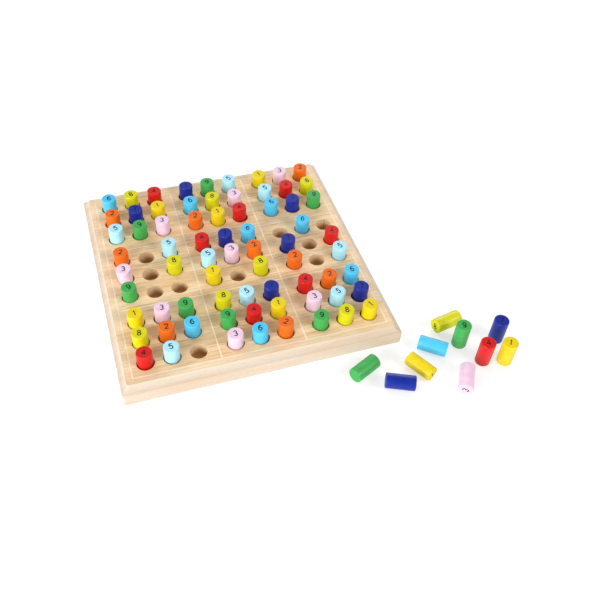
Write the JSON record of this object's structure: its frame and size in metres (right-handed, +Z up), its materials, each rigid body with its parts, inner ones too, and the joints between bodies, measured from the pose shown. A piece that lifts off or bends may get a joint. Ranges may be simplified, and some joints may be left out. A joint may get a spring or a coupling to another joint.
{
  "type": "sudoku board",
  "caption": "Square wooden sudoku board with a hollowed bevel, blind peg holes and white block lines, and painted number pegs that lift out of the holes or lie beside it.",
  "frame": {"origin": "middle of the board's underside, on the table", "axes": "+X along the rows to the right, +Y along the columns to the back, +Z up out of the holes"},
  "size_m": [0.3021, 0.2836, 0.029],
  "materials": {
    "board_wood": "fine sanded pale wood, matt, grain along X",
    "white_lines": "matt white paint in a shallow groove",
    "yellow_paint": "satin paint on a wooden dowel, black number on one end",
    "orange_paint": "satin paint on a wooden dowel, black number on one end",
    "pink_paint": "satin paint on a wooden dowel, black number on one end",
    "red_paint": "satin paint on a wooden dowel, black number on one end",
    "pale_blue_paint": "satin paint on a wooden dowel, black number on one end",
    "sky_blue_paint": "satin paint on a wooden dowel, black number on one end",
    "dark_blue_paint": "satin paint on a wooden dowel, black number on one end",
    "lime_paint": "satin paint on a wooden dowel, black number on one end",
    "green_paint": "satin paint on a wooden dowel, black number on one end"
  },
  "bodies": {
    "board": {"board": "board_wood", "grid_lines": "white_lines"},
    "back_pegs_1": {"back_pegs_1": "yellow_paint"},
    "back_pegs_2": {"back_pegs_2": "orange_paint"},
    "back_pegs_3": {"back_pegs_3": "pink_paint"},
    "back_pegs_4": {"back_pegs_4": "red_paint"},
    "back_pegs_5": {"back_pegs_5": "pale_blue_paint"},
    "back_pegs_6": {"back_pegs_6": "sky_blue_paint"},
    "back_pegs_7": {"back_pegs_7": "dark_blue_paint"},
    "back_pegs_8": {"back_pegs_8": "lime_paint"},
    "back_pegs_9": {"back_pegs_9": "green_paint"},
    "peg_row_5_column_1": {"peg_row_5_column_1": "pink_paint"},
    "peg_row_5_column_3": {"peg_row_5_column_3": "lime_paint"},
    "peg_row_5_column_4": {"peg_row_5_column_4": "pale_blue_paint"},
    "peg_row_5_column_5": {"peg_row_5_column_5": "pink_paint"},
    "peg_row_5_column_6": {"peg_row_5_column_6": "orange_paint"},
    "peg_row_5_column_7": {"peg_row_5_column_7": "dark_blue_paint"},
    "peg_row_5_column_9": {"peg_row_5_column_9": "red_paint"},
    "peg_row_6_column_1": {"peg_row_6_column_1": "green_paint"},
    "peg_row_6_column_4": {"peg_row_6_column_4": "yellow_paint"},
    "peg_row_6_column_6": {"peg_row_6_column_6": "lime_paint"},
    "peg_row_6_column_7": {"peg_row_6_column_7": "orange_paint"},
    "peg_row_6_column_9": {"peg_row_6_column_9": "pale_blue_paint"},
    "peg_row_7_column_1": {"peg_row_7_column_1": "yellow_paint"},
    "peg_row_7_column_2": {"peg_row_7_column_2": "pink_paint"},
    "peg_row_7_column_3": {"peg_row_7_column_3": "green_paint"},
    "peg_row_7_column_4": {"peg_row_7_column_4": "lime_paint"},
    "peg_row_7_column_5": {"peg_row_7_column_5": "pale_blue_paint"},
    "peg_row_7_column_6": {"peg_row_7_column_6": "dark_blue_paint"},
    "peg_row_7_column_7": {"peg_row_7_column_7": "red_paint"},
    "peg_row_7_column_8": {"peg_row_7_column_8": "orange_paint"},
    "peg_row_7_column_9": {"peg_row_7_column_9": "sky_blue_paint"},
    "peg_row_8_column_1": {"peg_row_8_column_1": "lime_paint"},
    "peg_row_8_column_2": {"peg_row_8_column_2": "orange_paint"},
    "peg_row_8_column_3": {"peg_row_8_column_3": "sky_blue_paint"},
    "peg_row_8_column_4": {"peg_row_8_column_4": "green_paint"},
    "peg_row_8_column_5": {"peg_row_8_column_5": "red_paint"},
    "peg_row_8_column_6": {"peg_row_8_column_6": "yellow_paint"},
    "peg_row_8_column_7": {"peg_row_8_column_7": "pink_paint"},
    "peg_row_8_column_8": {"peg_row_8_column_8": "pale_blue_paint"},
    "peg_row_8_column_9": {"peg_row_8_column_9": "dark_blue_paint"},
    "peg_row_9_column_1": {"peg_row_9_column_1": "red_paint"},
    "peg_row_9_column_2": {"peg_row_9_column_2": "pale_blue_paint"},
    "peg_row_9_column_4": {"peg_row_9_column_4": "pink_paint"},
    "peg_row_9_column_5": {"peg_row_9_column_5": "sky_blue_paint"},
    "peg_row_9_column_6": {"peg_row_9_column_6": "orange_paint"},
    "peg_row_9_column_7": {"peg_row_9_column_7": "green_paint"},
    "peg_row_9_column_8": {"peg_row_9_column_8": "lime_paint"},
    "peg_row_9_column_9": {"peg_row_9_column_9": "yellow_paint"},
    "loose_peg_8": {"loose_peg_8": "lime_paint"},
    "loose_peg_9_standing": {"loose_peg_9_standing": "green_paint"},
    "loose_peg_7_standing": {"loose_peg_7_standing": "dark_blue_paint"},
    "loose_peg_6": {"loose_peg_6": "sky_blue_paint"},
    "loose_peg_1": {"loose_peg_1": "yellow_paint"},
    "loose_peg_9": {"loose_peg_9": "green_paint"},
    "loose_peg_7": {"loose_peg_7": "dark_blue_paint"},
    "loose_peg_4_standing": {"loose_peg_4_standing": "red_paint"},
    "loose_peg_1_standing": {"loose_peg_1_standing": "yellow_paint"},
    "loose_peg_3": {"loose_peg_3": "pink_paint"}
  },
  "joints": [
    {"name": "back_pegs_1_lift", "type": "slide", "parent": "board", "child": "back_pegs_1", "axis": [0, 0, 1], "range_m": [0, 0.035]},
    {"name": "back_pegs_2_lift", "type": "slide", "parent": "board", "child": "back_pegs_2", "axis": [0, 0, 1], "range_m": [0, 0.035]},
    {"name": "back_pegs_3_lift", "type": "slide", "parent": "board", "child": "back_pegs_3", "axis": [0, 0, 1], "range_m": [0, 0.035]},
    {"name": "back_pegs_4_lift", "type": "slide", "parent": "board", "child": "back_pegs_4", "axis": [0, 0, 1], "range_m": [0, 0.035]},
    {"name": "back_pegs_5_lift", "type": "slide", "parent": "board", "child": "back_pegs_5", "axis": [0, 0, 1], "range_m": [0, 0.035]},
    {"name": "back_pegs_6_lift", "type": "slide", "parent": "board", "child": "back_pegs_6", "axis": [0, 0, 1], "range_m": [0, 0.035]},
    {"name": "back_pegs_7_lift", "type": "slide", "parent": "board", "child": "back_pegs_7", "axis": [0, 0, 1], "range_m": [0, 0.035]},
    {"name": "back_pegs_8_lift", "type": "slide", "parent": "board", "child": "back_pegs_8", "axis": [0, 0, 1], "range_m": [0, 0.035]},
    {"name": "back_pegs_9_lift", "type": "slide", "parent": "board", "child": "back_pegs_9", "axis": [0, 0, 1], "range_m": [0, 0.035]},
    {"name": "peg_row_5_column_1_lift", "type": "slide", "parent": "board", "child": "peg_row_5_column_1", "axis": [0, 0, 1], "range_m": [0, 0.035]},
    {"name": "peg_row_5_column_3_lift", "type": "slide", "parent": "board", "child": "peg_row_5_column_3", "axis": [0, 0, 1], "range_m": [0, 0.035]},
    {"name": "peg_row_5_column_4_lift", "type": "slide", "parent": "board", "child": "peg_row_5_column_4", "axis": [0, 0, 1], "range_m": [0, 0.035]},
    {"name": "peg_row_5_column_5_lift", "type": "slide", "parent": "board", "child": "peg_row_5_column_5", "axis": [0, 0, 1], "range_m": [0, 0.035]},
    {"name": "peg_row_5_column_6_lift", "type": "slide", "parent": "board", "child": "peg_row_5_column_6", "axis": [0, 0, 1], "range_m": [0, 0.035]},
    {"name": "peg_row_5_column_7_lift", "type": "slide", "parent": "board", "child": "peg_row_5_column_7", "axis": [0, 0, 1], "range_m": [0, 0.035]},
    {"name": "peg_row_5_column_9_lift", "type": "slide", "parent": "board", "child": "peg_row_5_column_9", "axis": [0, 0, 1], "range_m": [0, 0.035]},
    {"name": "peg_row_6_column_1_lift", "type": "slide", "parent": "board", "child": "peg_row_6_column_1", "axis": [0, 0, 1], "range_m": [0, 0.035]},
    {"name": "peg_row_6_column_4_lift", "type": "slide", "parent": "board", "child": "peg_row_6_column_4", "axis": [0, 0, 1], "range_m": [0, 0.035]},
    {"name": "peg_row_6_column_6_lift", "type": "slide", "parent": "board", "child": "peg_row_6_column_6", "axis": [0, 0, 1], "range_m": [0, 0.035]},
    {"name": "peg_row_6_column_7_lift", "type": "slide", "parent": "board", "child": "peg_row_6_column_7", "axis": [0, 0, 1], "range_m": [0, 0.035]},
    {"name": "peg_row_6_column_9_lift", "type": "slide", "parent": "board", "child": "peg_row_6_column_9", "axis": [0, 0, 1], "range_m": [0, 0.035]},
    {"name": "peg_row_7_column_1_lift", "type": "slide", "parent": "board", "child": "peg_row_7_column_1", "axis": [0, 0, 1], "range_m": [0, 0.035]},
    {"name": "peg_row_7_column_2_lift", "type": "slide", "parent": "board", "child": "peg_row_7_column_2", "axis": [0, 0, 1], "range_m": [0, 0.035]},
    {"name": "peg_row_7_column_3_lift", "type": "slide", "parent": "board", "child": "peg_row_7_column_3", "axis": [0, 0, 1], "range_m": [0, 0.035]},
    {"name": "peg_row_7_column_4_lift", "type": "slide", "parent": "board", "child": "peg_row_7_column_4", "axis": [0, 0, 1], "range_m": [0, 0.035]},
    {"name": "peg_row_7_column_5_lift", "type": "slide", "parent": "board", "child": "peg_row_7_column_5", "axis": [0, 0, 1], "range_m": [0, 0.035]},
    {"name": "peg_row_7_column_6_lift", "type": "slide", "parent": "board", "child": "peg_row_7_column_6", "axis": [0, 0, 1], "range_m": [0, 0.035]},
    {"name": "peg_row_7_column_7_lift", "type": "slide", "parent": "board", "child": "peg_row_7_column_7", "axis": [0, 0, 1], "range_m": [0, 0.035]},
    {"name": "peg_row_7_column_8_lift", "type": "slide", "parent": "board", "child": "peg_row_7_column_8", "axis": [0, 0, 1], "range_m": [0, 0.035]},
    {"name": "peg_row_7_column_9_lift", "type": "slide", "parent": "board", "child": "peg_row_7_column_9", "axis": [0, 0, 1], "range_m": [0, 0.035]},
    {"name": "peg_row_8_column_1_lift", "type": "slide", "parent": "board", "child": "peg_row_8_column_1", "axis": [0, 0, 1], "range_m": [0, 0.035]},
    {"name": "peg_row_8_column_2_lift", "type": "slide", "parent": "board", "child": "peg_row_8_column_2", "axis": [0, 0, 1], "range_m": [0, 0.035]},
    {"name": "peg_row_8_column_3_lift", "type": "slide", "parent": "board", "child": "peg_row_8_column_3", "axis": [0, 0, 1], "range_m": [0, 0.035]},
    {"name": "peg_row_8_column_4_lift", "type": "slide", "parent": "board", "child": "peg_row_8_column_4", "axis": [0, 0, 1], "range_m": [0, 0.035]},
    {"name": "peg_row_8_column_5_lift", "type": "slide", "parent": "board", "child": "peg_row_8_column_5", "axis": [0, 0, 1], "range_m": [0, 0.035]},
    {"name": "peg_row_8_column_6_lift", "type": "slide", "parent": "board", "child": "peg_row_8_column_6", "axis": [0, 0, 1], "range_m": [0, 0.035]},
    {"name": "peg_row_8_column_7_lift", "type": "slide", "parent": "board", "child": "peg_row_8_column_7", "axis": [0, 0, 1], "range_m": [0, 0.035]},
    {"name": "peg_row_8_column_8_lift", "type": "slide", "parent": "board", "child": "peg_row_8_column_8", "axis": [0, 0, 1], "range_m": [0, 0.035]},
    {"name": "peg_row_8_column_9_lift", "type": "slide", "parent": "board", "child": "peg_row_8_column_9", "axis": [0, 0, 1], "range_m": [0, 0.035]},
    {"name": "peg_row_9_column_1_lift", "type": "slide", "parent": "board", "child": "peg_row_9_column_1", "axis": [0, 0, 1], "range_m": [0, 0.035]},
    {"name": "peg_row_9_column_2_lift", "type": "slide", "parent": "board", "child": "peg_row_9_column_2", "axis": [0, 0, 1], "range_m": [0, 0.035]},
    {"name": "peg_row_9_column_4_lift", "type": "slide", "parent": "board", "child": "peg_row_9_column_4", "axis": [0, 0, 1], "range_m": [0, 0.035]},
    {"name": "peg_row_9_column_5_lift", "type": "slide", "parent": "board", "child": "peg_row_9_column_5", "axis": [0, 0, 1], "range_m": [0, 0.035]},
    {"name": "peg_row_9_column_6_lift", "type": "slide", "parent": "board", "child": "peg_row_9_column_6", "axis": [0, 0, 1], "range_m": [0, 0.035]},
    {"name": "peg_row_9_column_7_lift", "type": "slide", "parent": "board", "child": "peg_row_9_column_7", "axis": [0, 0, 1], "range_m": [0, 0.035]},
    {"name": "peg_row_9_column_8_lift", "type": "slide", "parent": "board", "child": "peg_row_9_column_8", "axis": [0, 0, 1], "range_m": [0, 0.035]},
    {"name": "peg_row_9_column_9_lift", "type": "slide", "parent": "board", "child": "peg_row_9_column_9", "axis": [0, 0, 1], "range_m": [0, 0.035]},
    {"name": "loose_peg_8_lift", "type": "slide", "parent": "board", "child": "loose_peg_8", "axis": [0, 0, 1], "range_m": [0, 0.035]},
    {"name": "loose_peg_9_standing_lift", "type": "slide", "parent": "board", "child": "loose_peg_9_standing", "axis": [0, 0, 1], "range_m": [0, 0.035]},
    {"name": "loose_peg_7_standing_lift", "type": "slide", "parent": "board", "child": "loose_peg_7_standing", "axis": [0, 0, 1], "range_m": [0, 0.035]},
    {"name": "loose_peg_6_lift", "type": "slide", "parent": "board", "child": "loose_peg_6", "axis": [0, 0, 1], "range_m": [0, 0.035]},
    {"name": "loose_peg_1_lift", "type": "slide", "parent": "board", "child": "loose_peg_1", "axis": [0, 0, 1], "range_m": [0, 0.035]},
    {"name": "loose_peg_9_lift", "type": "slide", "parent": "board", "child": "loose_peg_9", "axis": [0, 0, 1], "range_m": [0, 0.035]},
    {"name": "loose_peg_7_lift", "type": "slide", "parent": "board", "child": "loose_peg_7", "axis": [0, 0, 1], "range_m": [0, 0.035]},
    {"name": "loose_peg_4_standing_lift", "type": "slide", "parent": "board", "child": "loose_peg_4_standing", "axis": [0, 0, 1], "range_m": [0, 0.035]},
    {"name": "loose_peg_1_standing_lift", "type": "slide", "parent": "board", "child": "loose_peg_1_standing", "axis": [0, 0, 1], "range_m": [0, 0.035]},
    {"name": "loose_peg_3_lift", "type": "slide", "parent": "board", "child": "loose_peg_3", "axis": [0, 0, 1], "range_m": [0, 0.035]}
  ]
}
